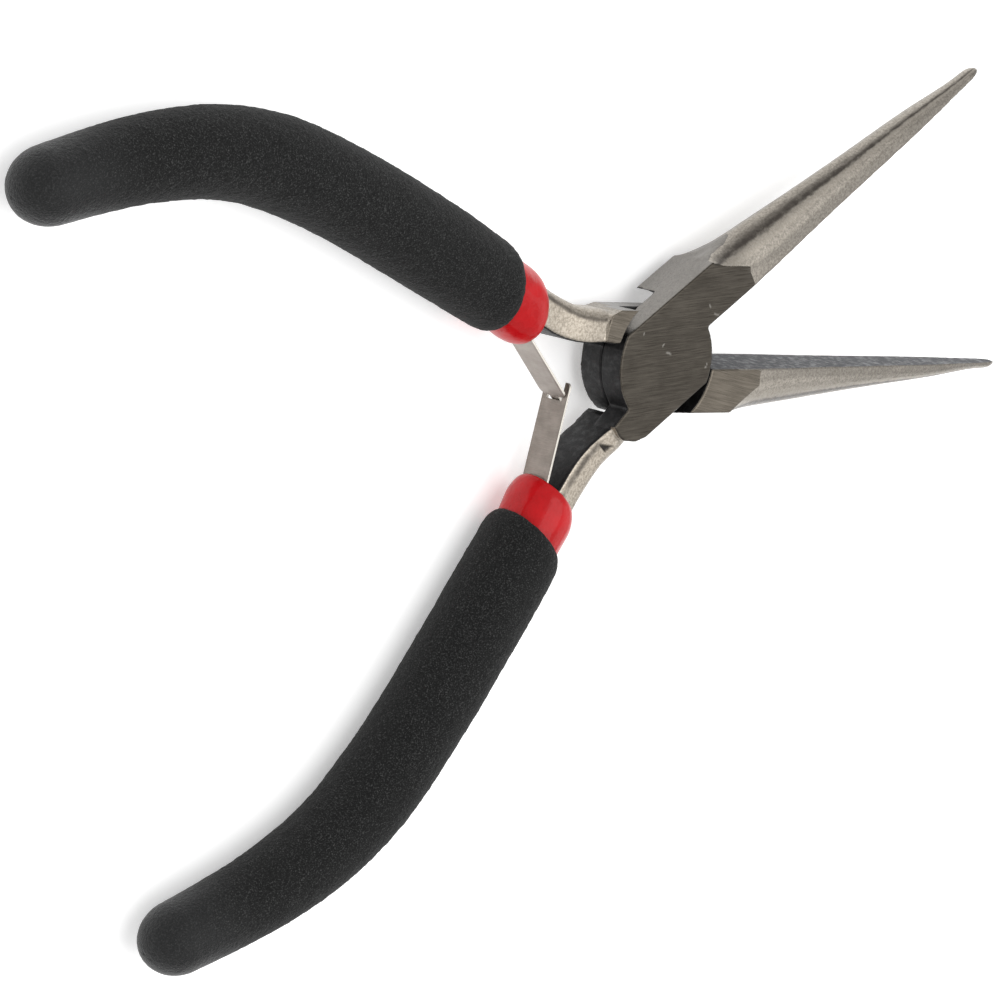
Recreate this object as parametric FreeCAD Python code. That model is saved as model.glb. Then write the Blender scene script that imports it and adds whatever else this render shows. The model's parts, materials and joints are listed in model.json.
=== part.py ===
import FreeCAD, Part
import math
import os
from FreeCAD import Vector

# Lap-joint pliers with two long tapered jaws, dipped sleeves, foam grips and a double leaf spring.
# Millimetres. Origin: pivot axis at the underside of the head. +X is the bisector of the open
# jaws, pointing to their tips, and +Z is the pivot axis. The right half has its handle on the
# -Y side and its disc on top. It is drawn closed, with its jaw along +X, about the middle of the
# head. The left half is the same forging turned over about X.

# ---- head and joint ----
OPEN_ANGLE = 35.2            # between the two jaws at rest, degrees
HALF_OPEN = OPEN_ANGLE / 2
HEAD_THICKNESS = 7.2
HALF_HEAD = HEAD_THICKNESS / 2
LAYER_GAP = 0.04             # running gap between the two discs
DISC_RADIUS = 8.1
JAW_SEAT_RADIUS = 8.35       # shoulder of the jaw, around the other half's disc
HANDLE_SEAT_RADIUS = 8.9     # shoulder of the handle root, around the other half's disc
HEAD_JAW_SIDE = 7.0          # outer flat of the head beside the jaw
HEAD_HANDLE_SIDE = 6.5       # outer flat of the head beside the handle
RIGHT_JAW_SLANT = 0.15       # how far the jaw root's outer flat leans in at its lower face
LEFT_JAW_SLANT = 0.6

# ---- pivot rivet ----
PIN_RADIUS = 2.5
PIN_HEAD_RADIUS = 3.2
PIN_HEAD_DEPTH = 0.8
PIN_CLEARANCE = 0.03

# ---- jaws ----
JAW_REACH = 68.8
JAW_ROOT_X = 12.3            # where the square head block becomes the tapered jaw
JAW_ROOT_GAP = 0.34          # inner jaw face to the centre plane at the head
JAW_TIP_GAP = 0.04
JAW_FACE_ROLL = 0.12         # lean of the inner face towards the other jaw, per millimetre up
JAW_BLANK_SIDE = -0.1        # inner side of the head's jaw blocks before the face is ground
JAW_HEIGHT = 7.0
JAW_TAPER = 0.109            # outer height lost per millimetre of reach

# ---- handle bar ----
INNER_EDGE_RADIUS = 0.4      # crisp edges beside the bar's flat inner face
# centre, direction in degrees, half width, lowest and highest z, radius of the outer edges
BAR_STATIONS = [
    ((-9.3, -4.1), 181, 1.95, -3.45, 2.90, 1.9),
    ((-12.4, -4.4), 181, 2.05, -3.45, 2.80, 1.9),
    ((-14.8, -4.5), 187, 2.15, -3.30, 2.80, 1.8),
    ((-17.4, -5.1), 197, 2.25, -2.90, 2.80, 1.7),
    ((-20.6, -6.4), 204, 2.25, -2.75, 2.75, 1.7),
    ((-24.0, -7.95), 204, 2.30, -2.70, 2.70, 1.6),
    ((-30.0, -10.3), 202, 2.30, -2.60, 2.60, 1.4),
    ((-40.6, -14.4), 201, 2.30, -2.50, 2.50, 1.2),
    ((-53.8, -19.2), 198, 2.30, -2.40, 2.40, 1.1),
    ((-67.2, -22.3), 183, 2.20, -2.30, 2.30, 1.1),
    ((-82.0, -20.7), 166, 2.10, -2.10, 2.10, 1.0),
    ((-90.0, -18.5), 163, 2.00, -2.00, 2.00, 1.0),
]

# ---- sleeve and foam grip ----
# Middle line of the sleeve and the foam grip, from the sleeve's mouth to the end of the grip.
GRIP_LINE = [(-21.4, -5.85), (-27.5, -8.5), (-40.6, -14.1), (-53.8, -19.2), (-67.2, -22.3),
             (-82.0, -20.7), (-96.2, -16.4)]
MOUTH_TILT = 15.0            # the mouth and the foam's front lean forward on the inner side
TILT_FADE = 10.0             # length over which the lean dies out behind the foam's front
COLLAR_RADIUS = 4.55
COLLAR_EDGE_REACH = 3.0      # rounding of the sleeve's mouth, along and across the sleeve
COLLAR_EDGE_DROP = 1.6
SKIN_RADIUS = 3.9            # sleeve under the foam, at its front and at its end
SKIN_END_RADIUS = 3.2
FOAM_START = 6.0             # mouth of the sleeve to the front edge of the foam
FOAM_EDGE_REACH = 2.4        # rounding of the foam's front edge
FOAM_EDGE_DROP = 0.9
FOAM_RADIUS = 5.6
FOAM_MIDDLE_RADIUS = 5.5
FOAM_END_RADIUS = 4.35
DOME_LENGTH = 5.0

# ---- double leaf spring ----
LEAF_WIDTH = 4.4
LEAF_THICKNESS = 0.4
LEAF_LENGTH = 12.0
LEAF_CORNER = 0.9            # rounded corners at the leaf's end
LEAF_HINGE = Vector(-22.1, -2.4, 0)   # bend line of the leaf at the sleeve's mouth
LEAF_REST = 45.6             # direction of the free leaf against the closed jaws, degrees
LEAF_CLEARANCE = 0.25
LEAF_POCKET_RADIUS = 0.9
LEAF_SHOULDER = 8.85         # bend line to the shoulders of the tongue, and to the fork
FORK_WIDTH = 2.6             # open slot at the end of the forked leaf
TONGUE_WIDTH = 2.0
TONGUE_END = 10.8
LEAF_SEAT = Vector(-26.2, -6.45, 0)   # where the clamped base meets the bar
LEAF_BASE_END = Vector(-31.5, -8.45, 0)
LEAF_RIVET_RADIUS = 1.0
LEAF_RIVET_HEAD_RADIUS = 1.6
LEAF_RIVET_HEAD_HEIGHT = 0.45
LEAF_RIVET_PLACE = 2.4       # rivet to the base's end
LEAF_RIVET_DEPTH = 2.0

ORIGIN = Vector(0, 0, 0)
Z_AXIS = Vector(0, 0, 1)


# ---- small helpers ----
def cylinder(radius, low, high):
    return Part.makeCylinder(radius, high - low, Vector(0, 0, low))


def line(start, end):
    return Part.LineSegment(start, end).toShape()


def arc(start, middle, end):
    return Part.Arc(start, middle, end).toShape()


def plate(points, low, high):
    """A flat plate from a closed outline of points."""
    corners = [Vector(x, y, low) for x, y in points]
    outline = Part.makePolygon(corners + corners[:1])
    return Part.Face(outline).extrude(Vector(0, 0, high - low))


# ---- the forged half ----
def disc_layer():
    """Upper layer of the head: the disc, its straight outer flats and the root of the handle."""
    low, high = LAYER_GAP / 2, HALF_HEAD
    wide = 20
    disc = cylinder(DISC_RADIUS, low, high)
    band = plate([(-wide, -HEAD_HANDLE_SIDE), (wide, -HEAD_HANDLE_SIDE), (wide, HEAD_JAW_SIDE),
                  (-wide, HEAD_JAW_SIDE)], low, high)
    jaw_block = plate([(0, JAW_BLANK_SIDE), (JAW_ROOT_X, JAW_BLANK_SIDE),
                       (JAW_ROOT_X, HEAD_JAW_SIDE), (0, HEAD_JAW_SIDE)], low, high)
    handle_block = plate([(0, -1.5), (-8.0, -1.5), (-11.0, -2.1), (-10.9, -3.6), (-10.5, -4.6),
                          (-8.8, -6.0), (-7.1, -HEAD_HANDLE_SIDE), (0, -HEAD_HANDLE_SIDE)],
                         low, high)
    return disc.common(band).fuse([jaw_block, handle_block])


def seat_layer():
    """Lower layer: jaw root and handle root, each hollowed around the other half's disc."""
    low, high = -HALF_HEAD, LAYER_GAP / 2
    jaw_root = plate([(3, JAW_BLANK_SIDE), (JAW_ROOT_X, JAW_BLANK_SIDE),
                      (JAW_ROOT_X, HEAD_JAW_SIDE), (3, HEAD_JAW_SIDE)], low, high)
    jaw_root = jaw_root.cut(cylinder(JAW_SEAT_RADIUS, low - 1, high))
    handle_root = plate([(-5, -2.2), (-11.2, -2.45), (-10.6, -5.8),
                         (-9.0, -HEAD_HANDLE_SIDE), (-5, -HEAD_HANDLE_SIDE)], low, high)
    handle_root = handle_root.cut(cylinder(HANDLE_SEAT_RADIUS, low - 1, high))
    return [jaw_root, handle_root]


def jaw_section(x, height, half_thickness, round_off):
    """D-shaped section, rounded on its outer side. The inner face is ground flat afterwards."""
    inner = -1.0
    flat = 0.06 * half_thickness
    depth = half_thickness - flat
    start = height - round_off
    turn = math.sqrt(0.5)

    def corner(sign):
        return [Vector(x, start, sign * half_thickness),
                Vector(x, start + round_off * turn, sign * (flat + depth * turn)),
                Vector(x, height, sign * flat)]

    upper, lower = corner(1), corner(-1)
    inner_top = Vector(x, inner, half_thickness)
    inner_low = Vector(x, inner, -half_thickness)
    return Part.Wire([line(inner_low, inner_top), line(inner_top, upper[0]), arc(*upper),
                      line(upper[2], lower[2]), arc(lower[2], lower[1], lower[0]),
                      line(lower[0], inner_low)])


def jaw():
    """Tapered jaw, ground flat on both sides where it leaves the head."""
    # place along the jaw, half thickness before grinding, depth of the rounded outer side
    shape = [(JAW_ROOT_X, 4.3, 0.5), (14.0, 3.95, 2.4), (17.0, 3.58, 4.1), (22.0, 3.35, 4.6),
             (30.0, 2.9, 4.4), (45.0, 2.35, 3.1), (58.0, 1.75, 1.8), (66.0, 1.15, 1.0)]
    sections = [jaw_section(x, JAW_HEIGHT - JAW_TAPER * (x - JAW_ROOT_X), thick, rounding)
                for x, thick, rounding in shape]
    # the rounded nose
    sections.append(jaw_section(68.2, 0.82, 0.76, 0.5))
    sections.append(jaw_section(JAW_REACH, 0.48, 0.42, 0.25))
    blank = Part.makeLoft(sections, True, False)
    wide = 20
    ground = plate([(JAW_ROOT_X, -wide), (JAW_REACH, -wide), (JAW_REACH, wide),
                    (JAW_ROOT_X, wide)], -HALF_HEAD, HALF_HEAD)
    return blank.common(ground)


def beyond_inner_face():
    """What grinding takes off the jaw's inner side, so that both jaws meet face to face."""
    wide = 20
    top = HALF_HEAD + 1
    taper = (JAW_TIP_GAP - JAW_ROOT_GAP) / (JAW_REACH - JAW_ROOT_X)
    ends = []
    for x in (DISC_RADIUS, JAW_REACH + 1):
        gap = JAW_ROOT_GAP + taper * (x - JAW_ROOT_X)
        lean = JAW_FACE_ROLL * top
        corners = [Vector(x, gap - lean, top), Vector(x, gap + lean, -top),
                   Vector(x, -wide, -top), Vector(x, -wide, top)]
        ends.append(Part.makePolygon(corners + corners[:1]))
    return Part.makeLoft(ends, True, True)


def bar_section(middle, heading, half_width, low, high, outer_radius):
    """Section across the handle bar: flat inner face, well rounded outer edges."""
    angle = math.radians(heading)
    inward = Vector(math.sin(angle), -math.cos(angle), 0)
    centre = Vector(middle[0], middle[1], 0)
    corners = [(1, high, -1), (-1, high, -1), (-1, low, 1), (1, low, 1)]
    arcs = []
    for side, z, back in corners:
        radius = INNER_EDGE_RADIUS if side > 0 else outer_radius
        step = radius * (1 - math.sqrt(0.5))
        face_end = centre + inward * (side * half_width) + Z_AXIS * (z + back * radius)
        flat_end = centre + inward * (side * (half_width - radius)) + Z_AXIS * z
        crown = centre + inward * (side * (half_width - step)) + Z_AXIS * (z + back * step)
        ends = (face_end, crown, flat_end) if side * back < 0 else (flat_end, crown, face_end)
        arcs.append(ends)
    edges = []
    for i, ends in enumerate(arcs):
        edges.append(arc(*ends))
        edges.append(line(ends[2], arcs[(i + 1) % 4][0]))
    return Part.Wire(edges)


def handle_bar():
    """Steel tang, falling away from the head's flat, and the bar that runs on in the sleeve."""
    return Part.makeLoft([bar_section(*station) for station in BAR_STATIONS], True, False)


def jaw_slant(lean):
    """What grinding takes off the jaw root's outer flat below the middle of the head."""
    start, length = 3, 13
    side = [Vector(start, HEAD_JAW_SIDE, 0), Vector(start, HEAD_JAW_SIDE - lean, -HALF_HEAD),
            Vector(start, HEAD_JAW_SIDE + 1, -HALF_HEAD), Vector(start, HEAD_JAW_SIDE + 1, 0)]
    return Part.Face(Part.makePolygon(side + side[:1])).extrude(Vector(length, 0, 0))


def forged_half(lean):
    blank = disc_layer().fuse(seat_layer() + [jaw(), handle_bar()])
    return blank.cut([jaw_slant(lean), beyond_inner_face()]).removeSplitter()


# ---- sleeve and grip ----
def grip_curve():
    curve = Part.BSplineCurve()
    curve.interpolate([Vector(x, y, 0) for x, y in GRIP_LINE])
    return curve


def lean_at(distance):
    """Lean of a ring: full up to the foam's front, then fading out."""
    behind = distance - FOAM_START - FOAM_EDGE_REACH
    return MOUTH_TILT * min(1.0, max(0.0, 1.0 - behind / TILT_FADE))


def round_loft(curve, stations):
    """Solid of circles across the grip line. A station is (distance along it, radius)."""
    wires = []
    for distance, radius in stations:
        at = curve.parameterAtDistance(distance, curve.FirstParameter)
        turn = FreeCAD.Rotation(Z_AXIS, -lean_at(distance))
        direction = turn.multVec(curve.tangent(at)[0])
        ring = Part.Circle(curve.value(at), direction, radius)
        wires.append(Part.Wire([ring.toShape()]))
    return Part.makeLoft(wires, True, True)


def rounded_edge(start, reach, radius, drop, turns):
    """Stations of a rounded front edge that grows to the full radius."""
    stations = []
    for degrees in turns:
        angle = math.radians(degrees)
        stations.append((start + reach * (1 - math.cos(angle)),
                         radius - drop * (1 - math.sin(angle))))
    return stations


def steady(start, end, first_radius, last_radius, count):
    """Stations with an even taper, without the first one."""
    return [(start + (end - start) * i / count,
             first_radius + (last_radius - first_radius) * i / count)
            for i in range(1, count + 1)]


def sleeve_blank(curve):
    """Outside of the sleeve: a full collar at the mouth, then a close skin under the foam."""
    neck = FOAM_START + 8.0
    stations = rounded_edge(0, COLLAR_EDGE_REACH, COLLAR_RADIUS, COLLAR_EDGE_DROP,
                            (10, 30, 50, 70, 90))
    stations += [(FOAM_START + 1.0, COLLAR_RADIUS), (FOAM_START + 4.0, 4.2), (neck, SKIN_RADIUS)]
    stations += steady(neck, curve.length() - DOME_LENGTH, SKIN_RADIUS, SKIN_END_RADIUS, 8)
    return round_loft(curve, stations)


def foam_blank(curve):
    """Outside of the foam: rounded front edge, long gentle taper and a domed end."""
    end = curve.length()
    middle = end * 0.55
    dome_start = end - DOME_LENGTH
    stations = rounded_edge(FOAM_START, FOAM_EDGE_REACH, FOAM_RADIUS, FOAM_EDGE_DROP,
                            (10, 35, 60, 90))
    stations += steady(FOAM_START + FOAM_EDGE_REACH, middle, FOAM_RADIUS, FOAM_MIDDLE_RADIUS, 9)
    stations += steady(middle, dome_start, FOAM_MIDDLE_RADIUS, FOAM_END_RADIUS, 7)
    for degrees in (15, 30, 45, 60, 72, 82):
        angle = math.radians(degrees)
        stations.append((dome_start + DOME_LENGTH * math.sin(angle),
                         FOAM_END_RADIUS * math.cos(angle)))
    return round_loft(curve, stations)


# ---- double leaf spring ----
def strip(start, end, width):
    """Flat strip of leaf stock on edge, from start to end."""
    along = end - start
    shape = Part.makeBox(along.Length, LEAF_THICKNESS, width,
                         Vector(0, -LEAF_THICKNESS / 2, -width / 2))
    shape.rotate(ORIGIN, Z_AXIS, math.degrees(math.atan2(along.y, along.x)))
    shape.translate(start)
    return shape


def corner_waste(length):
    """What is cut away to round the two corners at the end of a leaf lying along +X."""
    start = length - LEAF_CORNER
    back = -LEAF_THICKNESS / 2
    block = Part.makeBox(LEAF_CORNER, LEAF_THICKNESS, LEAF_WIDTH,
                         Vector(start, back, -LEAF_WIDTH / 2))
    middle = Part.makeBox(LEAF_CORNER, LEAF_THICKNESS, LEAF_WIDTH - 2 * LEAF_CORNER,
                          Vector(start, back, LEAF_CORNER - LEAF_WIDTH / 2))
    rounds = [Part.makeCylinder(LEAF_CORNER, LEAF_THICKNESS,
                                Vector(start, back, side * (LEAF_WIDTH / 2 - LEAF_CORNER)),
                                Vector(0, 1, 0))
              for side in (-1, 1)]
    return block.cut(middle.fuse(rounds))


def free_leaf(kind):
    """Free part of a leaf along +X from its bend line. kind is fork or tongue."""
    root = Part.makeCylinder(LEAF_THICKNESS / 2, LEAF_WIDTH, Vector(0, 0, -LEAF_WIDTH / 2))
    length = LEAF_LENGTH if kind == "fork" else LEAF_SHOULDER
    leaf = strip(ORIGIN, Vector(length, 0, 0), LEAF_WIDTH).cut(corner_waste(length))
    if kind == "fork":
        slot = Part.makeBox(LEAF_LENGTH, 2 * LEAF_THICKNESS, FORK_WIDTH,
                            Vector(LEAF_SHOULDER, -LEAF_THICKNESS, -FORK_WIDTH / 2))
        leaf = leaf.cut(slot).fuse(root)
    else:
        tongue = strip(ORIGIN, Vector(TONGUE_END, 0, 0), TONGUE_WIDTH)
        leaf = leaf.fuse([tongue, root])
    leaf.rotate(ORIGIN, Z_AXIS, LEAF_REST)
    leaf.translate(LEAF_HINGE)
    return leaf.removeSplitter()


def leaf_base():
    """Clamped end of the leaf: slopes down to the bar and lies along it."""
    slope = strip(LEAF_SEAT, LEAF_HINGE, LEAF_WIDTH)
    slope = slope.cut(Part.makeCylinder(LEAF_CLEARANCE + LEAF_THICKNESS / 2, 2 * LEAF_WIDTH,
                                        LEAF_HINGE - Vector(0, 0, LEAF_WIDTH)))
    return slope.fuse(strip(LEAF_BASE_END, LEAF_SEAT, LEAF_WIDTH)).removeSplitter()


def leaf_pocket():
    """Relief in the sleeve's mouth for the leaf's bend, through its whole swing."""
    return Part.makeCylinder(LEAF_POCKET_RADIUS, LEAF_WIDTH + 2 * LEAF_CLEARANCE,
                             LEAF_HINGE - Vector(0, 0, LEAF_WIDTH / 2 + LEAF_CLEARANCE))


def leaf_rivet():
    """Rivet through the clamped base into the bar, with a low cone head."""
    along = (LEAF_SEAT - LEAF_BASE_END).normalize()
    out = Vector(-along.y, along.x, 0)
    place = LEAF_BASE_END + along * LEAF_RIVET_PLACE
    shank = Part.makeCylinder(LEAF_RIVET_RADIUS, LEAF_RIVET_DEPTH + LEAF_THICKNESS / 2,
                              place - out * LEAF_RIVET_DEPTH, out)
    head = Part.makeCone(LEAF_RIVET_HEAD_RADIUS, LEAF_RIVET_RADIUS, LEAF_RIVET_HEAD_HEIGHT,
                         place + out * (LEAF_THICKNESS / 2), out)
    return shank.fuse(head)


# ---- the whole tool ----
def pivot_pin(clearance=0.0):
    """Rivet through both discs, flared at each end and ground flush with the head."""
    radius = PIN_RADIUS + clearance
    flare = PIN_HEAD_RADIUS + clearance
    shank = Part.makeCylinder(radius, HEAD_THICKNESS)
    low = Part.makeCone(flare, radius, PIN_HEAD_DEPTH)
    high = Part.makeCone(radius, flare, PIN_HEAD_DEPTH,
                         Vector(0, 0, HEAD_THICKNESS - PIN_HEAD_DEPTH))
    return shank.fuse([low, high]).removeSplitter()


def place_right(shape):
    placed = shape.copy()
    placed.rotate(ORIGIN, Z_AXIS, HALF_OPEN)
    placed.translate(Vector(0, 0, HALF_HEAD))
    return placed


def place_left(shape):
    placed = shape.copy()
    placed.rotate(ORIGIN, Vector(1, 0, 0), 180)
    placed.rotate(ORIGIN, Z_AXIS, -HALF_OPEN)
    placed.translate(Vector(0, 0, HALF_HEAD))
    return placed


def build():
    """All nodes by name, at rest."""
    curve = grip_curve()
    bar = handle_bar()
    rivet = leaf_rivet()
    base = leaf_base().cut(bar.fuse(rivet))
    sleeve_outside = sleeve_blank(curve)
    sleeve = sleeve_outside.cut(bar.fuse([base, rivet, leaf_pocket()]))
    foam = foam_blank(curve).cut(sleeve_outside.fuse(bar))

    nodes = {}
    sides = (("right", place_right, "fork", RIGHT_JAW_SLANT, pivot_pin()),
             ("left", place_left, "tongue", LEFT_JAW_SLANT, pivot_pin(PIN_CLEARANCE)))
    for side, place, kind, lean, bore in sides:
        nodes[side + "_half"] = place(forged_half(lean).cut(rivet)).cut(bore)
        nodes[side + "_sleeve"] = place(sleeve)
        nodes[side + "_foam_grip"] = place(foam)
        nodes[side + "_spring_leaf"] = place(free_leaf(kind))
        nodes[side + "_leaf_base"] = place(base)
        nodes[side + "_leaf_rivet"] = place(rivet)
    nodes["pivot_rivet"] = pivot_pin()
    return nodes


def main():
    os.makedirs("parts", exist_ok=True)
    for name, shape in build().items():
        print(name, "solids", len(shape.Solids), "valid", shape.isValid(),
              "volume %.2f" % shape.Volume)
        shape.exportStep("parts/" + name + ".step")


main()
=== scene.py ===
import json
import math

import bmesh
import bpy
import numpy as np
from mathutils import Matrix, Vector
from mathutils.bvhtree import BVHTree


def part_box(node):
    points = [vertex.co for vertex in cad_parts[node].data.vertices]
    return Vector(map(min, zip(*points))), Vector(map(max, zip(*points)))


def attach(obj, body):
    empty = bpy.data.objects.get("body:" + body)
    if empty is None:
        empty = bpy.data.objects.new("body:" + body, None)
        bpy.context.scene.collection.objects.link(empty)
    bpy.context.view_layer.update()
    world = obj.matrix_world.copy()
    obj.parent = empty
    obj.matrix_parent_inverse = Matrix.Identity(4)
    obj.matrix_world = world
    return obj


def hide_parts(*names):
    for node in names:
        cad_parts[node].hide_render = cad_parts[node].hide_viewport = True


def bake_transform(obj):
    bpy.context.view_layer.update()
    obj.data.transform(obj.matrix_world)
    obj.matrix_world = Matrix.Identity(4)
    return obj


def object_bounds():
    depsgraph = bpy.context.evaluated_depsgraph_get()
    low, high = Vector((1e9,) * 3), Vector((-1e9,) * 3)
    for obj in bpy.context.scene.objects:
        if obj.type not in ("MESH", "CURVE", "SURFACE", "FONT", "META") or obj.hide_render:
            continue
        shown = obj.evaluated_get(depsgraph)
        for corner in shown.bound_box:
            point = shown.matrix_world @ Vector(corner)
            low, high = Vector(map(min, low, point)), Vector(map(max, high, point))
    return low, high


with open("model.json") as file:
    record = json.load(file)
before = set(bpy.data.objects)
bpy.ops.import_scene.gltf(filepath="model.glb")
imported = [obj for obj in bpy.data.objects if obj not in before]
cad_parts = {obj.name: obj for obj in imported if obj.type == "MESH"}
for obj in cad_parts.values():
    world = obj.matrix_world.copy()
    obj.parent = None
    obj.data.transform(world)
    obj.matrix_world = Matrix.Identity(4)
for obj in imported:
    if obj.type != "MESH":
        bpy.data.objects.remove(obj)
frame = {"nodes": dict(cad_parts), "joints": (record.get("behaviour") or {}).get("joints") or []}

# Looks of the lap-joint pliers. Shapes are worked out in millimetres in a half's own frame: pliers
# closed, jaw along +X on the +Y side, handle along -X on the -Y side, origin in the middle of the
# head. own_to_row() places them. The left half is the right one turned over about X.

cad_low, cad_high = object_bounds()

MM = 0.001
rng = np.random.default_rng(7)

HALF_OPEN = math.radians(frame["joints"][0]["range_deg"][1] / 2)
HALF_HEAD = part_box("right_half")[1].z / 2 / MM      # half the head's thickness


# ---- frames and meshes ----
def own_to_row(side):
    """Matrix from a half's own frame in millimetres to the row frame in metres."""
    turn = HALF_OPEN if side == "right" else -HALF_OPEN
    flip = 0.0 if side == "right" else math.pi
    place = Matrix.Translation((0, 0, HALF_HEAD * MM)) @ Matrix.Rotation(turn, 4, "Z")
    return place @ Matrix.Rotation(flip, 4, "X") @ Matrix.Scale(MM, 4)


def link_mesh(name, mesh, material, smooth=True):
    piece = bpy.data.objects.new(name, mesh)
    bpy.context.scene.collection.objects.link(piece)
    mesh.materials.clear()
    mesh.materials.append(material)
    mesh.polygons.foreach_set("use_smooth", [smooth] * len(mesh.polygons))
    mesh.update()
    return piece


def mesh_from(name, points, faces):
    """Mesh from points and faces of point numbers."""
    mesh = bpy.data.meshes.new(name)
    mesh.from_pydata([tuple(p) for p in points], [], faces)
    mesh.update()
    return mesh


def get_points(mesh):
    flat = np.zeros(len(mesh.vertices) * 3)
    mesh.vertices.foreach_get("co", flat)
    return flat.reshape(-1, 3)


def set_points(mesh, points):
    mesh.vertices.foreach_set("co", np.ascontiguousarray(points, dtype=np.float32).ravel())
    mesh.update()


def get_normals(mesh):
    flat = np.zeros(len(mesh.vertices) * 3, dtype=np.float32)
    mesh.vertex_normals.foreach_get("vector", flat)
    return flat.reshape(-1, 3).astype(float)


def smoothed(mesh, points, rounds, share):
    """Points moved towards the mean of their neighbours."""
    edges = np.zeros(len(mesh.edges) * 2, dtype=np.int64)
    mesh.edges.foreach_get("vertices", edges)
    first, second = edges.reshape(-1, 2).T
    count = np.bincount(edges, minlength=len(points))[:, None]
    for _ in range(rounds):
        total = np.zeros_like(points)
        for axis in range(3):
            total[:, axis] = (np.bincount(first, points[second, axis], len(points))
                              + np.bincount(second, points[first, axis], len(points)))
        points = points + share * (total / np.maximum(count, 1) - points)
    return points


def step(low, high, value):
    """Smooth step from 0 at low to 1 at high."""
    t = np.clip((value - low) / (high - low), 0, 1)
    return t * t * (3 - 2 * t)


NOISE_TABLE = rng.random((48, 48, 48))


def noise_at(points, size, shift=0.0):
    """Smooth noise from -1 to 1 with features of about that size."""
    grid = points / size + shift
    cell = np.floor(grid).astype(int)
    t = grid - cell
    t = t * t * (3 - 2 * t)
    total = np.zeros(len(points))
    for dx in (0, 1):
        for dy in (0, 1):
            for dz in (0, 1):
                weight = (np.where(dx, t[:, 0], 1 - t[:, 0]) * np.where(dy, t[:, 1], 1 - t[:, 1])
                          * np.where(dz, t[:, 2], 1 - t[:, 2]))
                corner = (cell + (dx, dy, dz)) % len(NOISE_TABLE)
                total += weight * NOISE_TABLE[corner[:, 0], corner[:, 1], corner[:, 2]]
    return 2 * total - 1


def add_attribute(mesh, name, values):
    mesh.attributes.new(name, "FLOAT", "POINT").data.foreach_set(
        "value", np.ascontiguousarray(values, dtype=np.float32))


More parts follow.
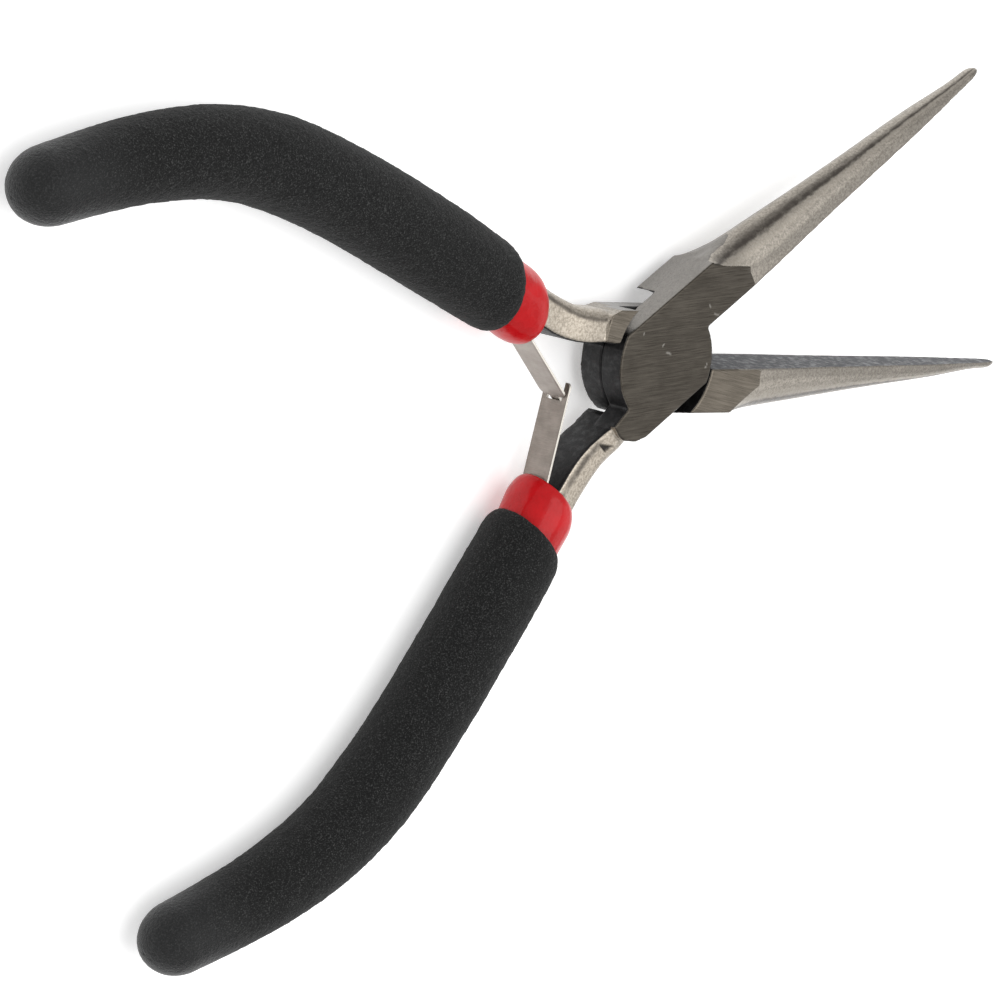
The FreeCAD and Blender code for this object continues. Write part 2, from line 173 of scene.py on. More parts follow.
# ---- materials ----
class Paint:
    """A material and short ways to add nodes to it. Positions come in millimetres."""

    def __init__(self, name, **surface):
        self.material = bpy.data.materials.new(name)
        self.material.use_nodes = True
        self.tree = self.material.node_tree
        self.tree.nodes.clear()
        output = self.tree.nodes.new("ShaderNodeOutputMaterial")
        self.surface = self.node("ShaderNodeBsdfPrincipled")
        for socket, value in surface.items():
            self.surface.inputs[socket.replace("_", " ")].default_value = value
        self.link(self.surface.outputs[0], output.inputs[0])
        coordinates = self.node("ShaderNodeTexCoord")
        self.place = self.scaled(coordinates.outputs["Object"], (1 / MM, 1 / MM, 1 / MM))

    def link(self, source, target):
        self.tree.links.new(source, target)

    def node(self, kind, **settings):
        made = self.tree.nodes.new(kind)
        for key, value in settings.items():
            setattr(made, key, value)
        return made

    def feed(self, socket, value):
        if isinstance(value, bpy.types.NodeSocket):
            self.link(value, socket)
        else:
            socket.default_value = value

    def scaled(self, source, scale, turn=(0, 0, 0)):
        made = self.node("ShaderNodeMapping")
        self.link(source, made.inputs["Vector"])
        made.inputs["Rotation"].default_value = turn
        made.inputs["Scale"].default_value = scale
        return made.outputs[0]

    def noise(self, size, detail=3.0, rough=0.6, place=None):
        """Noise with features of about that size in millimetres."""
        made = self.node("ShaderNodeTexNoise")
        self.link(place or self.place, made.inputs["Vector"])
        made.inputs["Scale"].default_value = 1 / size
        made.inputs["Detail"].default_value = detail
        made.inputs["Roughness"].default_value = rough
        return made.outputs[0]

    def streaks(self, heading, across, along):
        """Fine noise drawn out along a heading in the plane of the row, in degrees."""
        turned = self.scaled(self.place, (1, 1, 1), (0, 0, -math.radians(heading)))
        return self.noise(across, 4, 0.75, self.scaled(turned, (across / along, 1, 1)))

    def cells(self, size):
        """Distance to the middle of cells of about that size in millimetres."""
        made = self.node("ShaderNodeTexVoronoi")
        self.link(self.place, made.inputs["Vector"])
        made.inputs["Scale"].default_value = 1 / size
        return made.outputs["Distance"]

    def ramp(self, value, low, high, at_low=0.0, at_high=1.0):
        """Smooth change from at_low to at_high as the value goes from low to high."""
        made = self.node("ShaderNodeMapRange", interpolation_type="SMOOTHSTEP")
        self.feed(made.inputs["Value"], value)
        made.inputs["From Min"].default_value = low
        made.inputs["From Max"].default_value = high
        made.inputs["To Min"].default_value = at_low
        made.inputs["To Max"].default_value = at_high
        return made.outputs[0]

    def math(self, operation, a, b):
        made = self.node("ShaderNodeMath", operation=operation)
        self.feed(made.inputs[0], a)
        self.feed(made.inputs[1], b)
        return made.outputs[0]

    def times(self, a, b):
        return self.math("MULTIPLY", a, b)

    def sum(self, *parts):
        """Sum of (value, weight) pairs."""
        total = self.times(*parts[0])
        for value, weight in parts[1:]:
            total = self.math("ADD", total, self.times(value, weight))
        return total

    def mix(self, share, a, b):
        """Mixed colour. a and b are colours of three numbers, or sockets."""
        made = self.node("ShaderNodeMix", data_type="RGBA")
        self.feed(made.inputs[0], share)
        for socket, value in ((made.inputs[6], a), (made.inputs[7], b)):
            self.feed(socket, value if isinstance(value, bpy.types.NodeSocket) else (*value, 1))
        return made.outputs[2]

    def blend(self, share, a, b):
        """Mixed number."""
        made = self.node("ShaderNodeMix", data_type="FLOAT")
        self.feed(made.inputs[0], share)
        self.feed(made.inputs[2], a)
        self.feed(made.inputs[3], b)
        return made.outputs[0]

    def zone(self, name):
        """Strength of a surface zone, an attribute of the mesh."""
        return self.node("ShaderNodeAttribute", attribute_name=name).outputs["Fac"]

    def bump(self, height, distance, strength=1.0):
        """Bump of a height in millimetres."""
        made = self.node("ShaderNodeBump")
        self.link(height, made.inputs["Height"])
        made.inputs["Distance"].default_value = distance * MM
        made.inputs["Strength"].default_value = strength
        return made.outputs[0]

    def finish(self, colour, roughness, normal, metallic=None):
        self.link(colour, self.surface.inputs["Base Color"])
        self.link(roughness, self.surface.inputs["Roughness"])
        self.link(normal, self.surface.inputs["Normal"])
        if metallic is not None:
            self.link(metallic, self.surface.inputs["Metallic"])
        return self.material


def forged_colour(paint, grain, fine, patchy, broad):
    """Blasted grain with cleaner and browner patches, the painted shade line along the ridges with
    a painted highlight above it and painted shade on the jaw's top, and painted shade in the die
    mark.
    """
    speckle = paint.ramp(grain, 0.34, 0.64)
    forged = paint.mix(speckle, (0.205, 0.186, 0.160), (0.340, 0.312, 0.272))
    forged = paint.mix(paint.ramp(fine, 0.56, 0.70, 0.0, 0.45), forged, (0.50, 0.465, 0.415))
    forged = paint.mix(paint.ramp(patchy, 0.52, 0.74, 0.0, 0.30), forged, (0.150, 0.134, 0.114))
    forged = paint.mix(paint.ramp(broad, 0.52, 0.72, 0.0, 0.25), forged, (0.170, 0.152, 0.130))
    # Painted highlight just above the ridge line, and painted shade on the jaw's very top.
    gleam_and_shade = paint.zone("gleam_and_shade")
    forged = paint.mix(paint.ramp(gleam_and_shade, 0, 1, 0.0, 0.40), forged, (0.46, 0.418, 0.36))
    forged = paint.mix(paint.ramp(gleam_and_shade, 0, -1, 0.0, 0.30), forged, (0.0, 0.0, 0.0))
    tang = paint.mix(speckle, (0.26, 0.227, 0.184), (0.445, 0.395, 0.330))
    forged = paint.mix(paint.times(paint.zone("tang"), 0.75), forged, tang)
    # Painted dark shade line along the ridges of the jaws and tangs.
    ridge_shade = paint.times(paint.zone("ridge_shade"), paint.ramp(patchy, 0.25, 0.60, 0.70, 1.0))
    forged = paint.mix(ridge_shade, forged, (0.070, 0.061, 0.053))
    # Painted shade in the die mark's dent.
    return paint.mix(paint.zone("dent_and_shade"), forged, (0.030, 0.028, 0.026))


def steel_half_material(name, flat_dark, flat_light, scratch_heading):
    """Forged half: ground flats, oxide in the recesses, blasted grain on jaws and tang."""
    paint = Paint(name)
    broad = paint.noise(5.0, 3)
    patchy = paint.noise(1.3, 4, 0.65)
    grain = paint.noise(0.30, 4, 0.7)
    fine = paint.noise(0.14, 3, 0.7)
    mottled = paint.ramp(paint.noise(0.9, 5, 0.65), 0.42, 0.68)
    scratch = paint.streaks(scratch_heading, 0.16, 4.5)
    long_scratch = paint.streaks(scratch_heading + 3, 0.30, 14.0)

    flat_tone = paint.ramp(paint.sum((scratch, 0.55), (broad, 0.20), (long_scratch, 0.30)),
                           0.40, 0.66)
    side = paint.mix(flat_tone, (0.140, 0.132, 0.121), (0.215, 0.203, 0.187))
    flat = paint.mix(paint.zone("side"), paint.mix(flat_tone, flat_dark, flat_light), side)
    flat = paint.mix(paint.times(paint.zone("nick"), 0.6), flat, (0.34, 0.325, 0.30))

    oxide = paint.mix(mottled, (0.004, 0.004, 0.0045), (0.020, 0.020, 0.021))
    oxide = paint.mix(paint.ramp(fine, 0.64, 0.76, 0.0, 0.30), oxide, (0.11, 0.11, 0.11))

    face = paint.mix(mottled, (0.082, 0.084, 0.089), (0.182, 0.184, 0.190))
    face = paint.mix(paint.ramp(fine, 0.60, 0.72, 0.0, 0.45), face, (0.24, 0.24, 0.24))

    ragged = paint.times(paint.math("SUBTRACT", grain, 0.5), 0.55)

    def mask(zone, rag=1.0):
        """A zone with a ragged edge."""
        value = paint.math("ADD", paint.zone(zone), paint.times(ragged, rag))
        return paint.ramp(value, 0.40, 0.60)

    oxide_mask, face_mask, flat_mask = mask("oxide"), mask("face", 1.6), mask("ground", 0.25)
    colour = paint.mix(oxide_mask, forged_colour(paint, grain, fine, patchy, broad), oxide)
    colour = paint.mix(face_mask, colour, face)
    colour = paint.mix(flat_mask, colour, flat)

    rough_forged = paint.ramp(grain, 0.3, 0.7, 0.42, 0.30)
    roughness = paint.blend(oxide_mask, rough_forged, paint.ramp(mottled, 0, 1, 0.52, 0.40))
    roughness = paint.blend(face_mask, roughness, paint.ramp(mottled, 0, 1, 0.72, 0.55))
    roughness = paint.blend(flat_mask, roughness, paint.ramp(scratch, 0.3, 0.7, 0.26, 0.38))
    metallic = paint.blend(oxide_mask, 1.0, 0.30)
    metallic = paint.blend(face_mask, metallic, 0.10)
    paint.link(paint.blend(face_mask, 0.5, 0.12), paint.surface.inputs["Specular IOR Level"])

    pitted = paint.sum((grain, 0.7), (fine, 0.3))
    height = paint.blend(flat_mask, pitted, paint.times(scratch, 0.22))
    return paint.finish(colour, roughness, paint.bump(height, 0.05), metallic)


def rivet_material():
    """Ground rivet: fine scratches one way and broad tones."""
    paint = Paint("rivet_steel_look", Metallic=1.0)
    scratch = paint.noise(0.12, 4, 0.7, paint.scaled(paint.place, (0.05, 1, 1)))
    broad = paint.noise(1.6, 3)
    tone = paint.ramp(paint.sum((scratch, 0.6), (broad, 0.4)), 0.38, 0.66)
    colour = paint.mix(tone, (0.16, 0.15, 0.14), (0.40, 0.38, 0.35))
    return paint.finish(colour, paint.ramp(scratch, 0.3, 0.7, 0.30, 0.5),
                        paint.bump(scratch, 0.03))


def leaf_material(name, dark, light):
    """Satin spring strip with a fine cross grain and brighter cut edges."""
    paint = Paint(name, Metallic=1.0)
    grain = paint.noise(0.14, 4, 0.7, paint.scaled(paint.place, (1, 1, 0.10)))
    cloud = paint.noise(2.2, 3)
    tone = paint.ramp(paint.sum((grain, 0.55), (cloud, 0.45)), 0.36, 0.66)
    colour = paint.mix(tone, dark, light)
    colour = paint.mix(paint.zone("edge"), colour, (0.60, 0.57, 0.52))
    roughness = paint.ramp(grain, 0.3, 0.7, 0.42, 0.56)
    return paint.finish(colour, roughness, paint.bump(grain, 0.02))


def pvc_material():
    """Dipped glossy vinyl: slightly wavy skin, cloudy red and small pale specks."""
    paint = Paint("red_pvc_look", Specular_IOR_Level=0.12, Coat_Weight=0.20,
                  Coat_Roughness=0.06)
    cloud = paint.noise(3.0, 3)
    speck = paint.cells(1.1)
    colour = paint.mix(paint.ramp(cloud, 0.35, 0.7), (0.37, 0.003, 0.005), (0.45, 0.005, 0.008))
    colour = paint.mix(paint.ramp(speck, 0.05, 0.02, 0.0, 0.4), colour, (0.70, 0.20, 0.18))
    wave = paint.sum((paint.noise(1.7, 2), 1.0), (paint.noise(0.3, 2), 0.1))
    return paint.finish(colour, paint.ramp(cloud, 0.3, 0.7, 0.24, 0.34), paint.bump(wave, 0.12))


def foam_material():
    """Matte black foam: open pores, a dusty tone on the ridges and tiny light specks."""
    paint = Paint("black_foam_look", Specular_IOR_Level=0.20, Sheen_Weight=0.03)
    pores = paint.cells(0.42)
    specks = paint.cells(0.75)
    cloud = paint.noise(6.0, 3)
    grain = paint.noise(0.17, 2, 0.6)
    colour = paint.mix(paint.ramp(grain, 0.42, 0.62), (0.0008, 0.0009, 0.0009),
                       (0.0160, 0.0164, 0.0162))
    colour = paint.mix(paint.ramp(cloud, 0.4, 0.7, 0.0, 0.25), colour, (0.0070, 0.0073, 0.0072))
    dusty = paint.times(paint.ramp(grain, 0.56, 0.68), paint.ramp(pores, 0.15, 0.45))
    colour = paint.mix(paint.times(dusty, 0.60), colour, (0.066, 0.067, 0.066))
    sparkle = paint.times(paint.ramp(specks, 0.20, 0.08), paint.ramp(grain, 0.50, 0.62))
    colour = paint.mix(paint.times(sparkle, 0.50), colour, (0.075, 0.075, 0.072))
    skin = paint.zone("skin")
    colour = paint.mix(paint.times(skin, 0.55), colour, (0.010, 0.0105, 0.011))
    height = paint.sum((pores, 0.5), (grain, 0.8))
    roughness = paint.blend(skin, paint.ramp(grain, 0.3, 0.7, 0.72, 0.95), 0.42)
    return paint.finish(colour, roughness, paint.bump(height, 0.16, 0.9))


def floor_material():
    """White paper that glows a little, so that shadows on it stay faint."""
    paint = Paint("floor_look", Specular_IOR_Level=0.1, Emission_Color=(1, 1, 1, 1),
                  Emission_Strength=0.34)
    cloud = paint.noise(60.0, 3)
    colour = paint.mix(cloud, (0.89, 0.89, 0.89), (0.92, 0.92, 0.92))
    return paint.finish(colour, paint.ramp(cloud, 0.3, 0.7, 0.85, 0.95),
                        paint.bump(paint.noise(1.5, 2), 0.01))


# ---- forged halves ----
HEAD_FRONT = 12.5            # the head's ground rim ends here, towards the jaw
HEAD_BACK = -11.3            # and here, where the tang starts
JAW_START = 12.0             # the jaw's painted shade line and painted highlight fade in from here
HEAD_JAW_SIDE = 7.0          # from the middle line to the head's ground side by the jaw
HEAD_HANDLE_SIDE = 6.5       # and to the one by the handle
LAYER_GAP = 0.04             # between the two halves in the lap joint
FINE_VOXEL = 0.15            # skin of the part that shows
COARSE_VOXEL = 0.6           # skin of the bar inside the sleeve
HIDDEN_FROM = -27.0          # along the handle, where the bar is deep in the sleeve

NICKS_ALONG = (-7, 15)       # where the nicks' middles lie on the ground face
NICKS_ACROSS = (-5.5, 6.0)
NICK_DEPTH = 0.015
# Three-cornered die mark on the right tang, dented and painted dark as shade.
DENT_CORNERS = ((-13.6, -3.0), (-11.6, -4.85), (-13.15, -4.5))
DENT_DEPTH = 0.28

# Painted shade line where the jaw's outer side turns into its top, and the same on the left tang.
RIDGE_STATIONS = (15.0, 27.0, 38.0, 52.0, 66.0)    # along the jaw
RIDGE_LEANS = (43.0, 43.0, 43.0, 36.0, 32.0)       # degrees up from the jaw's outer side
RIDGE_SPREADS = (7.0, 6.0, 4.5, 4.0, 4.0)          # half width of the line, in degrees
RIDGE_SOFTER = 2.6                                 # times wider on the outer side
TANG_RIDGE_LEAN = 69.0                             # the same on the left tang
TANG_RIDGE_SPREAD = 8.0
# Painted shade band along the top of the right tang.
TANG_SHADE_LINE = ((-22.0, -5.3), (-19.5, -4.5), (-16.6, -3.5), (-14.2, -3.1), (-13.0, -3.0))


def cut_copy(meshes, place, keep_front):
    """One mesh in the own frame from CAD meshes, cut across the handle and closed."""
    shell = bmesh.new()
    for mesh in meshes:
        shell.from_mesh(mesh)
    bmesh.ops.transform(shell, matrix=place.inverted(), verts=shell.verts)
    bmesh.ops.remove_doubles(shell, verts=shell.verts, dist=0.0005)
    everything = shell.verts[:] + shell.edges[:] + shell.faces[:]
    cut = bmesh.ops.bisect_plane(shell, geom=everything, plane_co=(HIDDEN_FROM, 0, 0),
                                 plane_no=(-1 if keep_front else 1, 0, 0), clear_outer=True)
    rim = [e for e in cut["geom_cut"] if isinstance(e, bmesh.types.BMEdge)]
    bmesh.ops.holes_fill(shell, edges=rim)
    mesh = bpy.data.meshes.new("cut")
    shell.to_mesh(mesh)
    shell.free()
    return mesh


def voxel_skin(mesh, size):
    """Even closed skin around a mesh."""
    source = bpy.data.objects.new("source", mesh)
    bpy.context.scene.collection.objects.link(source)
    skin = source.modifiers.new("skin", "REMESH")
    skin.mode = "VOXEL"
    skin.voxel_size = size
    graph = bpy.context.evaluated_depsgraph_get()
    made = bpy.data.meshes.new_from_object(source.evaluated_get(graph))
    bpy.data.objects.remove(source)
    return made


def nick_marks(points, count):
    """Short bright arcs scratched on the ground face: strength at each point."""
    marks = np.zeros(len(points))
    for _ in range(count):
        x = rng.uniform(*NICKS_ALONG)
        y = rng.uniform(*NICKS_ACROSS)
        bend = rng.uniform(0.6, 2.2)
        start = rng.uniform(0, 2 * math.pi)
        centre = (x + bend * math.cos(start), y + bend * math.sin(start))
        away_x, away_y = points[:, 0] - centre[0], points[:, 1] - centre[1]
        off = np.abs(np.hypot(away_x, away_y) - bend)
        turn = np.angle(np.exp(1j * (np.arctan2(away_y, away_x) - start - math.pi)))
        reach = rng.uniform(0.25, 0.5)
        marks = np.maximum(marks, step(0.13, 0.03, off) * step(reach, reach - 0.2, np.abs(turn)))
    return marks


def forging_dent(points):
    """Three-cornered die mark on the upper side of the tang, dented and painted dark as shade:
    strength at each point.
    """
    inside = np.ones(len(points))
    middle = np.mean(DENT_CORNERS, axis=0)
    for first, second in zip(DENT_CORNERS, DENT_CORNERS[1:] + DENT_CORNERS[:1]):
        along = np.subtract(second, first)
        across = np.array([-along[1], along[0]]) / np.linalg.norm(along)
        across = across * np.sign(np.dot(middle - first, across))
        inside = inside * step(-0.08, 0.12, (points[:, :2] - first) @ across)
    return inside


def ridge_shade_and_gleam(side, points, normals):
    """Painted shade line where a jaw's or tang's outer side turns into its top: strength at each
    point.
    The second result is the jaw's painted light, 1 for a painted highlight just above the line and
    -1 for painted shade on its very top."""
    x, y = points.T[:2]
    ny, nz = normals.T[1:]
    lean = np.degrees(np.arctan2(np.abs(nz), ny))
    spread = np.interp(x, RIDGE_STATIONS, RIDGE_SPREADS)
    off = (lean - np.interp(x, RIDGE_STATIONS, RIDGE_LEANS)) / spread
    # Painted highlight just above the line, painted shade on the jaw's very top.
    gleam_and_shade = step(0.6, 1.4, off) * step(5.0, 3.0, off) - step(5.5, 8.5, off)
    gleam_and_shade = gleam_and_shade * step(JAW_START, JAW_START + 2.0, x)
    off = np.where(off > 0, off, -off / RIDGE_SOFTER)
    jaw = np.exp(-off ** 2) * step(JAW_START, JAW_START + 1.5, x)
    if side == "left":
        lean = np.degrees(np.arctan2(np.abs(nz), -ny))
        off = np.abs(lean - TANG_RIDGE_LEAN) / TANG_RIDGE_SPREAD
        tang = 0.75 * step(1.8, 0.2, off) * step(-10.0, -11.5, x)
    else:
        # Painted shade band along the top of the right tang, in patches.
        across = np.abs(y - np.interp(x, *np.transpose(TANG_SHADE_LINE)))
        patches = step(-0.7, 0.5, noise_at(points, 1.1, 6.0))
        crease_shade = step(0.80, 0.1, across) * patches * step(-12.5, -14.0, x) * step(0.3, 0.8, nz)
        tang = 0.95 * crease_shade
    return np.maximum(jaw, tang), gleam_and_shade


def half_zones(side, points, normals, nicks):
    """Strength of each surface zone of a half at each point, by the zone's name."""
    x, y, z = points.T
    nx, ny, nz = normals.T
    level, upright = np.abs(z), np.abs(nz)

    # Ground: the head's flat face with its broken rim, and the head's two sides.
    disc = step(HALF_HEAD - 0.07, HALF_HEAD - 0.03, level) * step(0.85, 0.95, upright)
    rim = step(HALF_HEAD - 0.28, HALF_HEAD - 0.18, level) * step(0.3, 0.6, upright)
    rim = rim * step(HEAD_FRONT + 1.5, HEAD_FRONT, x) * step(HEAD_BACK, HEAD_BACK + 0.2, x)
    by_jaw = step(0.9, 0.97, ny) * step(HEAD_JAW_SIDE - 0.75, HEAD_JAW_SIDE - 0.65, y)
    by_handle = step(0.9, 0.97, -ny) * step(HEAD_HANDLE_SIDE - 0.06, HEAD_HANDLE_SIDE - 0.02, -y)
    by_handle = by_handle * step(HEAD_BACK - 0.3, HEAD_BACK + 0.1, x)
    sides = np.maximum(by_jaw, by_handle)
    ground = np.maximum(np.maximum(disc, rim), sides)

    # The jaw's inner face, and dark oxide inside the tang, around the disc and in the lap joint.
    face = step(0.8, 0.95, -ny) * step(7.0, 9.0, x) * step(1.3, 1.1, y)
    tang_inside = step(0.55, 0.75, ny - 0.35 * nx) * step(-4.0, -6.0, x)
    seam = step(HALF_HEAD - 0.18, HALF_HEAD - 0.26, level)
    around = step(9.3, 9.1, np.hypot(x, y)) * np.maximum(step(0.6, 0.4, upright), seam)
    layer = step(0.3, 0.2, np.abs(z - LAYER_GAP / 2)) * step(0.7, 0.9, upright)
    oxide = np.clip(tang_inside + around + layer, 0, 1) * (1 - ground)

    nick = nick_marks(points, nicks) * step(0.9, 0.97, nz)
    dent_and_shade = forging_dent(points) * step(0.3, 0.6, nz) * (side == "right")
    ridge_shade, gleam_and_shade = ridge_shade_and_gleam(side, points, normals)
    return {"ground": ground, "side": sides, "oxide": oxide, "face": face, "nick": nick,
            "dent_and_shade": dent_and_shade, "tang": step(-9, -12, x), "ridge_shade": ridge_shade, "gleam_and_shade": gleam_and_shade}


def half_relief(points, zones):
    """Height of the surface: forging grain, faint waves where it is flat, nicks and die mark."""
    shaped = 1 - np.clip(zones["ground"] + zones["face"], 0, 1)
    coarse = 0.014 * noise_at(points, 2.2) + 0.008 * noise_at(points, 0.7, 9.3)
    wavy = 0.006 * noise_at(points, 3.0, 4.1)
    return (shaped * coarse + (1 - shaped) * wavy - NICK_DEPTH * zones["nick"]
            - DENT_DEPTH * zones["dent_and_shade"])


def steel_half(side, material, nicks):
    """Forged half with broken edges, a grained forging skin and marked zones."""
    place = own_to_row(side)
    sources = [frame["nodes"][side + "_half"].data]
    if side == "right":
        sources.append(rivet_plug())
    front = voxel_skin(cut_copy(sources, place, True), FINE_VOXEL)
    points = smoothed(front, get_points(front), 2, 0.5)
    set_points(front, points)
    normals = get_normals(front)
    zones = half_zones(side, points, normals, nicks)
    set_points(front, points + normals * half_relief(points, zones)[:, None])
    front.transform(place)

    back = voxel_skin(cut_copy(sources[:1], place, False), COARSE_VOXEL)
    back.transform(place)
    both = bmesh.new()
    both.from_mesh(front)
    both.from_mesh(back)
    joined = bpy.data.meshes.new(side + "_half_look")
    both.to_mesh(joined)
    both.free()
    hidden = np.zeros(len(back.vertices))
    for zone, strength in zones.items():
        add_attribute(joined, zone, np.concatenate([strength, hidden]))
    piece = link_mesh(side + "_half_look", joined, material)
    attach(piece, side + "_handle")
    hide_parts(side + "_half")


# ---- pivot rivet ----
RIVET_RADIUS = 2.5
RIVET_FLARE = 3.2            # radius of either end, where it fills the countersink
RIVET_FLARE_DEPTH = 0.8
RIVET_EDGE = 0.06            # rounding of its edges
RIVET_SUNK = 0.35            # its upper end lies this far under the ground face
RIVET_SEGMENTS = 96
PLUG_OVERLAP = 0.12          # the plug is this much wider than the hole it fills
PLUG_DEPTH = 3.0


def lathe(name, profile):
    """Closed mesh in the row frame turned about Z from (radius, z) pairs in millimetres, the
    first and last on the axis."""
    points = [(0, 0, profile[0][1])]
    faces = []
    rings = profile[1:-1]
    for radius, height in rings:
        for i in range(RIVET_SEGMENTS):
            angle = 2 * math.pi * i / RIVET_SEGMENTS
            points.append((radius * math.cos(angle), radius * math.sin(angle), height))
    points.append((0, 0, profile[-1][1]))
    for i in range(RIVET_SEGMENTS):
        j = (i + 1) % RIVET_SEGMENTS
        faces.append((0, 1 + j, 1 + i))
        for ring in range(len(rings) - 1):
            a, b = 1 + ring * RIVET_SEGMENTS, 1 + (ring + 1) * RIVET_SEGMENTS
            faces.append((a + i, a + j, b + j, b + i))
        a = 1 + (len(rings) - 1) * RIVET_SEGMENTS
        faces.append((a + i, a + j, len(points) - 1))
    mesh = mesh_from(name, points, faces)
    mesh.transform(Matrix.Scale(MM, 4))
    return mesh


def rivet_plug():
    """Upper end of the rivet, ground over with the disc. It is skinned with the right half."""
    top = 2 * HALF_HEAD
    shank, flare = RIVET_RADIUS + PLUG_OVERLAP, RIVET_FLARE + PLUG_OVERLAP
    return lathe("plug", [(0, top - PLUG_DEPTH), (shank, top - PLUG_DEPTH),
                          (shank, top - RIVET_FLARE_DEPTH), (flare, top), (0, top)])


def pivot_rivet(material):
    """Rivet: its upper end is hidden under the ground face, its lower end shows flush."""
    top = 2 * HALF_HEAD - RIVET_SUNK
    profile = [(0, -0.004), (1.2, -0.003), (RIVET_FLARE - 2 * RIVET_EDGE, 0.0),
               (RIVET_FLARE - RIVET_EDGE / 2, RIVET_EDGE / 2),
               (RIVET_FLARE - RIVET_EDGE, 2 * RIVET_EDGE), (RIVET_RADIUS, RIVET_FLARE_DEPTH),
               (RIVET_RADIUS, top - RIVET_EDGE), (RIVET_RADIUS - RIVET_EDGE, top), (0, top)]
    piece = link_mesh("pivot_rivet_look", lathe("pivot_rivet_look", profile), material)
    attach(piece, "right_handle")
    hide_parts("pivot_rivet")


# ---- sleeve and foam, swept along the grip line ----
# Distances are along the grip line from the sleeve's mouth, radii from the line.
GRIP_LINE = [(-21.4, -5.85), (-27.5, -8.5), (-40.6, -14.1), (-53.8, -19.2), (-67.2, -22.3),
             (-82.0, -20.7), (-96.2, -16.4)]
MOUTH_TILT = 15.0            # degrees that the sleeve's mouth leans
TILT_FADE = 10.0             # the lean is gone this far behind the foam's front edge
COLLAR_RADIUS = 4.55         # the red part of the sleeve that shows
COLLAR_EDGE_REACH = 3.0
COLLAR_EDGE_DROP = 1.6
COLLAR_OVER_LIP = 0.12       # the collar is at least this much wider than its lip
LIP_GAP = 0.05               # between the lip and the bar
LIP_DEPTHS = (6.0, 3.0, 1.5)     # rings of the sleeve inside its mouth, close to the bar
MOUTH_REACH = 6.4            # the mouth's fuller side fades out over this length
MOUTH_FULLER = 0.50          # extra radius of the mouth where the leaf comes out
MOUTH_AHEAD = -0.50          # how far the lip reaches forward there: it lies further back
LIP_TIGHTER = 0.45           # share of the front edge's drop that is filled there
SKIN_RADIUS = 3.9            # sleeve inside the foam
SKIN_END_RADIUS = 3.2
SKIN_STARTS = 8.0            # behind the foam's front edge
FOAM_START = 6.0
FOAM_GAP = 0.02              # between the foam's bore and the sleeve
FOAM_EDGE_REACH = 2.4
FOAM_EDGE_DROP = 0.9
FOAM_RADIUS = 5.6
FOAM_MIDDLE_RADIUS = 5.5
FOAM_END_RADIUS = 4.35
FOAM_SPACING = 0.24
FOAM_SEGMENTS = 144
SLEEVE_SEGMENTS = 96
DOME_LENGTH = 5.0


def spline_through(knots, samples):
    """Natural cubic spline through points in the plane, evenly sampled by chord length."""
    knots = np.array(knots, float)
    chord = np.concatenate([[0], np.cumsum(np.linalg.norm(np.diff(knots, axis=0), axis=1))])
    h = np.diff(chord)
    count = len(knots)
    system = np.eye(count)
    right = np.zeros((count, 2))
    for i in range(1, count - 1):
        system[i, i - 1:i + 2] = (h[i - 1], 2 * (h[i - 1] + h[i]), h[i])
        right[i] = 6 * ((knots[i + 1] - knots[i]) / h[i] - (knots[i] - knots[i - 1]) / h[i - 1])
    bend = np.linalg.solve(system, right)
    at = np.linspace(0, chord[-1], samples)
    i = np.clip(np.searchsorted(chord, at, side="right") - 1, 0, count - 2)
    a, b = (chord[i + 1] - at)[:, None], (at - chord[i])[:, None]
    width = h[i][:, None]
    return (bend[i] * a ** 3 / (6 * width) + bend[i + 1] * b ** 3 / (6 * width)
            + (knots[i] / width - bend[i] * width / 6) * a
            + (knots[i + 1] / width - bend[i + 1] * width / 6) * b)


CURVE = spline_through(GRIP_LINE, 4000)
CURVE_LENGTHS = np.concatenate([[0], np.cumsum(np.linalg.norm(np.diff(CURVE, axis=0), axis=1))])
GRIP_LENGTH = CURVE_LENGTHS[-1]


def curve_point(distance):
    return np.array([np.interp(distance, CURVE_LENGTHS, CURVE[:, k]) for k in (0, 1)])


def ring_frame(distance):
    """Centre and sideways direction of a ring across the grip line, with the mouth's lean."""
    along = curve_point(distance + 0.05) - curve_point(distance - 0.05)
    fade = (distance - FOAM_START - FOAM_EDGE_REACH) / TILT_FADE
    lean = math.radians(MOUTH_TILT) * min(1.0, max(0.0, 1.0 - fade))
    heading = math.atan2(along[1], along[0]) - lean
    return curve_point(distance), np.array([math.sin(heading), -math.cos(heading)])


def ring_at(distance, radius, angles):
    """Points of a ring. radius is one number or one for each angle."""
    centre, sideways = ring_frame(distance)
    across = np.cos(angles) * radius
    up = np.sin(angles) * radius
    return np.stack([centre[0] + across * sideways[0], centre[1] + across * sideways[1],
                     np.broadcast_to(up, across.shape)], axis=1)


def tube(name, rings):
    """Mesh of quads between rings of equal size, closed by a middle point at either end. The two
    middle points are the mesh's last points."""
    segments = len(rings[0])
    turns = [(i, (i + 1) % segments) for i in range(segments)]
    points = [p for ring in rings for p in ring]
    last = len(points) - segments
    faces = [(a + i, a + j, a + segments + j, a + segments + i)
             for a in range(0, last, segments) for i, j in turns]
    faces += [(j, i, len(points)) for i, j in turns]
    faces += [(last + i, last + j, len(points) + 1) for i, j in turns]
    points += [np.mean(rings[0], axis=0), np.mean(rings[-1], axis=0)]
    return mesh_from(name, points, faces)


def front_edge(start, reach, radius, drop, count):
    """(distance, radius) pairs over a rounded front edge."""
    turns = np.linspace(0, math.pi / 2, count)
    return [(start + reach * (1 - math.cos(a)), radius - drop * (1 - math.sin(a)))
            for a in turns]


